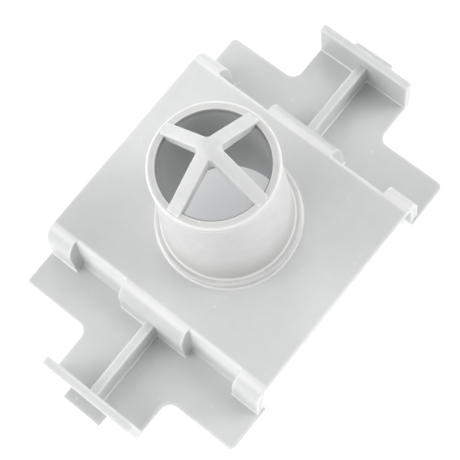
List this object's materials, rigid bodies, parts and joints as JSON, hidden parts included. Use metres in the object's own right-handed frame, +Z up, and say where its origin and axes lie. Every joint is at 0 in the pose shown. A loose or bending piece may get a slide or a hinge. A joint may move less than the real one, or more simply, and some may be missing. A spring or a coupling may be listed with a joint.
{
  "type": "dishwasher docking port",
  "caption": "Moulded saddle with a tapered upright water tube closed by a four-armed cross, snap tabs along both sides and ribbed wings.",
  "frame": {"origin": "on the tube's axis, level with the underside of the wings", "axes": "+Z up the tube; X across the saddle, from end wall to end wall; Y along the open channel under the saddle"},
  "size_m": [0.1256, 0.073, 0.0712],
  "materials": {
    "grey_plastic": "satin"
  },
  "bodies": {
    "root": {"docking_port": "grey_plastic"}
  },
  "joints": []
}
